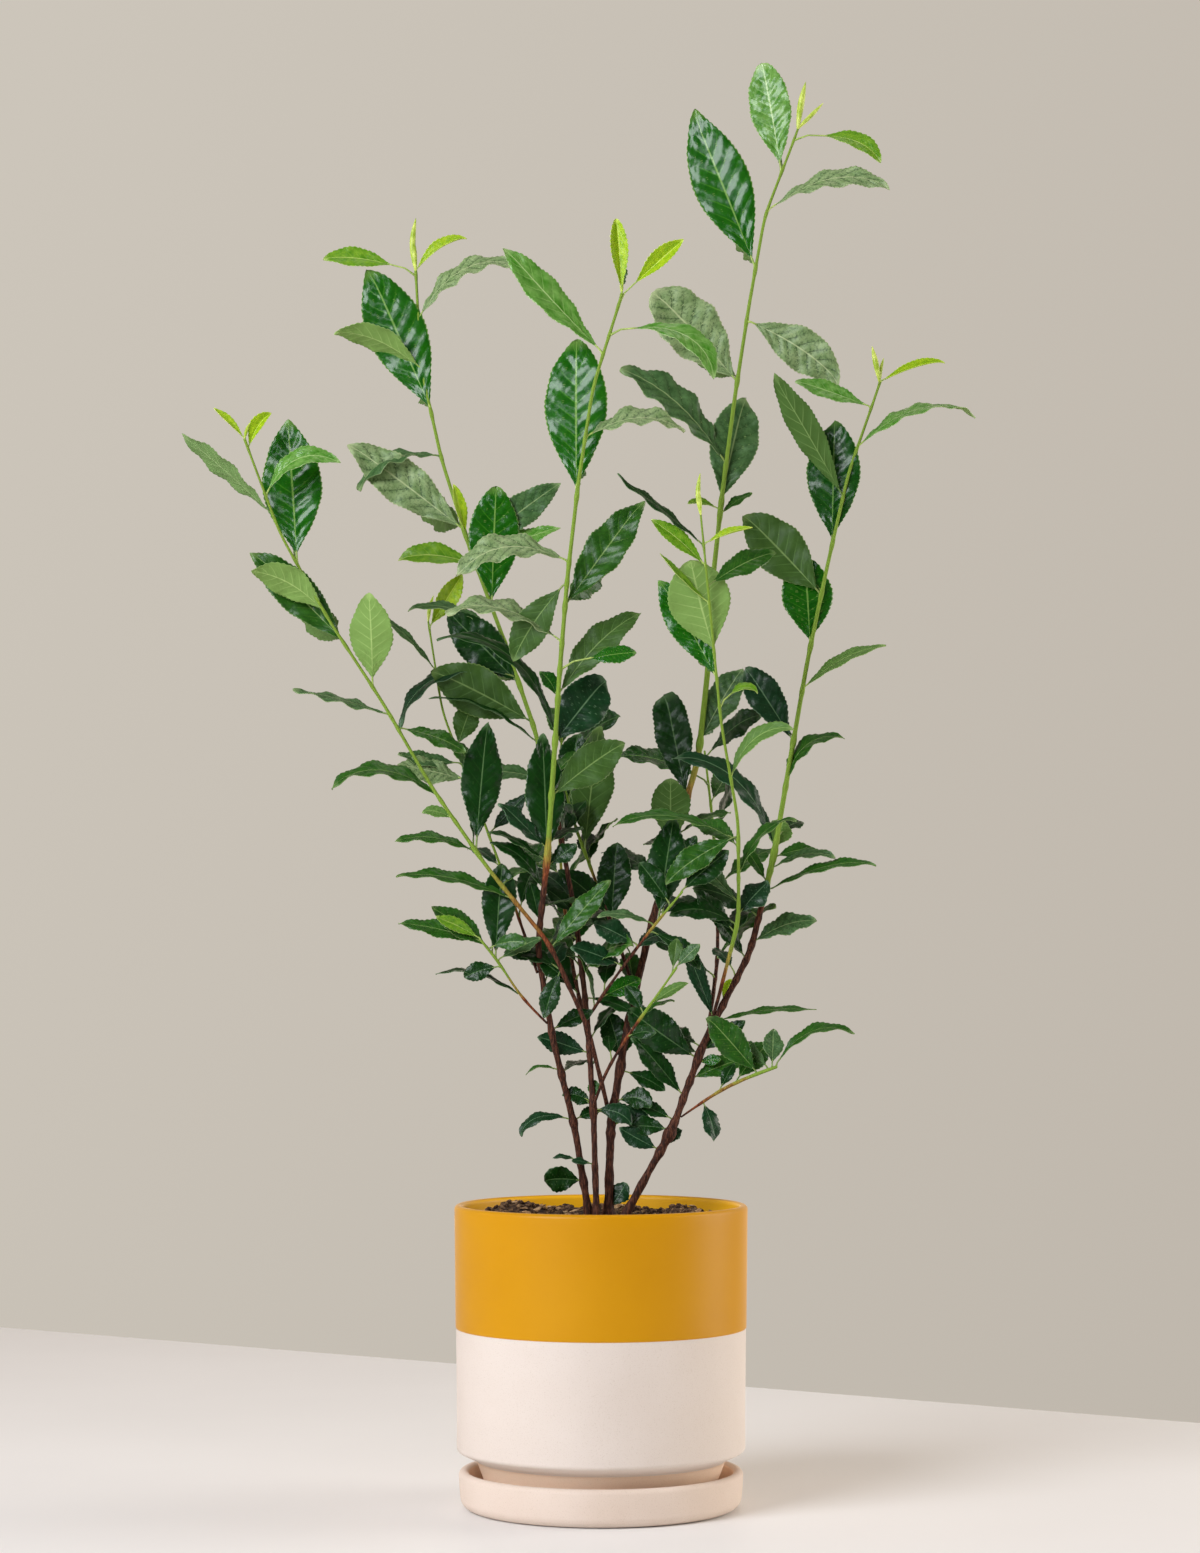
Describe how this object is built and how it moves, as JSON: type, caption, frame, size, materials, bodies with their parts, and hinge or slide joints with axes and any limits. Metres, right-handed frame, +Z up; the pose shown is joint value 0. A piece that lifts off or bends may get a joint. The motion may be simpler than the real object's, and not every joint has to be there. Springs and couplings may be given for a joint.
{
  "type": "potted tea bush",
  "caption": "Young tea bush with slender leaning stems and sparse glossy leaves, rooted in a round two-tone ceramic pot that stands on its saucer.",
  "frame": {"origin": "middle of the saucer's flat underside, on the axis of the pot", "axes": "+Z up along the axis of the pot, +X to the right and -Y to the front, where the far left bough and the centre stem lean forward"},
  "size_m": [0.5317, 0.3082, 0.985],
  "materials": {
    "glazed_pot": "satin",
    "bisque_saucer": "matte",
    "potting_mix": "matte",
    "stem_bark": "matte",
    "tea_foliage": "satin"
  },
  "bodies": {
    "root": {"back_bough": "stem_bark", "back_leaves": "tea_foliage", "back_right_bough": "stem_bark", "back_right_leaves": "tea_foliage", "centre_high_leaves": "tea_foliage", "centre_lower_leaves": "tea_foliage", "centre_middle_leaves": "tea_foliage", "centre_stem": "stem_bark", "centre_tip_leaves": "tea_foliage", "crossing_leaves": "tea_foliage", "crossing_twig": "stem_bark", "far_left_bough": "stem_bark", "far_left_high_leaves": "tea_foliage", "far_left_lower_leaves": "tea_foliage", "far_left_tip_leaves": "tea_foliage", "front_bough": "stem_bark", "front_lower_leaves": "tea_foliage", "front_shoot_leaves": "tea_foliage", "front_tip_leaves": "tea_foliage", "left_foot_leaves": "tea_foliage", "left_high_leaves": "tea_foliage", "left_lower_leaves": "tea_foliage", "left_middle_leaves": "tea_foliage", "left_stem": "stem_bark", "left_tip_leaves": "tea_foliage", "low_left_leaves": "tea_foliage", "low_left_twig": "stem_bark", "low_right_leaves": "tea_foliage", "low_right_twig": "stem_bark", "middle_bough": "stem_bark", "middle_leaves": "tea_foliage", "pot": "glazed_pot", "potting_mix": "potting_mix", "rear_left_bough": "stem_bark", "rear_left_leaves": "tea_foliage", "right_foot_leaves": "tea_foliage", "right_foot_sprig": "tea_foliage", "right_high_leaves": "tea_foliage", "right_lower_leaves": "tea_foliage", "right_middle_leaves": "tea_foliage", "right_stem": "stem_bark", "right_tip_leaves": "tea_foliage", "saucer": "bisque_saucer", "tall_foot_leaves": "tea_foliage", "tall_high_leaves": "tea_foliage", "tall_lower_leaves": "tea_foliage", "tall_middle_leaves": "tea_foliage", "tall_stem": "stem_bark", "tall_tip_leaves": "tea_foliage", "upper_crossing_leaves": "tea_foliage", "upper_crossing_twig": "stem_bark"}
  },
  "joints": []
}
